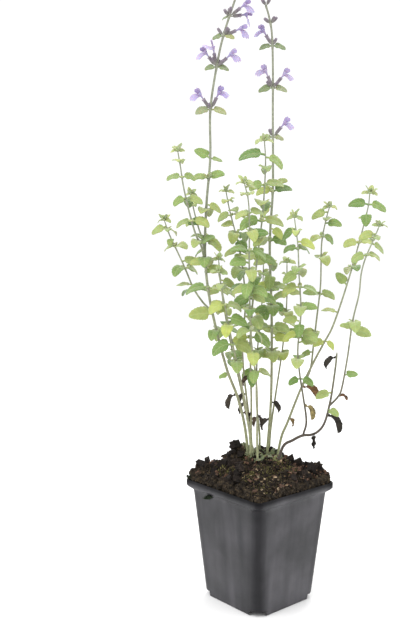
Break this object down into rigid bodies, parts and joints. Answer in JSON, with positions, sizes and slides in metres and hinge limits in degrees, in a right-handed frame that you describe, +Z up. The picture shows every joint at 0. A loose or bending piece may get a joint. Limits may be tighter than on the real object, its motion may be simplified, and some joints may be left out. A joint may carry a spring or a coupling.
{
  "type": "potted catmint plant",
  "caption": "Catmint plant with upright flowering spikes and leafy side shoots, growing in a square tapered nursery pot filled with soil.",
  "frame": {"origin": "centre of the pot's underside, on the surface that it stands on", "axes": "+Z up along the pot and stems, -Y towards the front corner of the pot, +X to the right of a viewer facing that corner"},
  "size_m": [0.1952, 0.1224, 0.5074],
  "materials": {
    "pot_plastic": "satin",
    "potting_soil": "matte",
    "leafy_stem": "matte",
    "petal": "matte"
  },
  "bodies": {
    "root": {"pot": "pot_plastic", "soil": "potting_soil", "stem_left_tall": "leafy_stem", "stem_right_tall": "leafy_stem", "stem_centre": "leafy_stem", "stem_back": "leafy_stem", "stem_right_long": "leafy_stem", "stem_right_low": "leafy_stem", "stem_centre_left": "leafy_stem", "stem_centre_front": "leafy_stem", "stem_left_front": "leafy_stem", "stem_back_right": "leafy_stem", "stem_back_left": "leafy_stem", "corolla_1": "petal", "corolla_2": "petal", "corolla_3": "petal", "corolla_4": "petal", "corolla_5": "petal", "corolla_6": "petal", "corolla_7": "petal", "corolla_8": "petal", "corolla_9": "petal", "corolla_10": "petal", "corolla_11": "petal", "corolla_12": "petal"}
  },
  "joints": []
}
